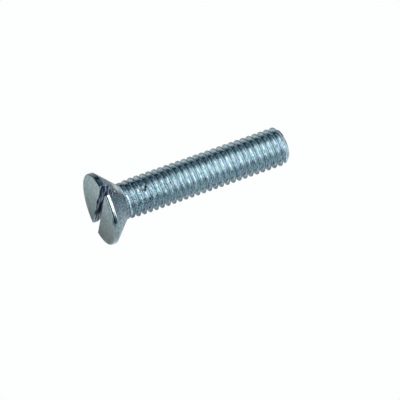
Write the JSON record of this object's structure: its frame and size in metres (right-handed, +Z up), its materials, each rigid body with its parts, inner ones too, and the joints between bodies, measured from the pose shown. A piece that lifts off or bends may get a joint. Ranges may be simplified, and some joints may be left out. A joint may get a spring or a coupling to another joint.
{
  "type": "countersunk bolt",
  "caption": "Small zinc-plated steel bolt with a flat slotted countersunk head and a coarse right-hand thread that runs up to the head, lying on its side.",
  "frame": {"origin": "on the ground under the middle of the bolt's box, with the bolt lying on its side as it comes to rest", "axes": "+X from the head towards the end of the thread, +Z up; the bolt's own axis lies in the XZ plane and dips about 5 degrees towards the end of the thread"},
  "size_m": [0.0254, 0.0092, 0.009],
  "materials": {
    "zinc_plated_steel": "bright zinc plating over turned and rolled steel, bluish grey, satin"
  },
  "bodies": {
    "root": {"countersunk_bolt": "zinc_plated_steel"}
  },
  "joints": []
}
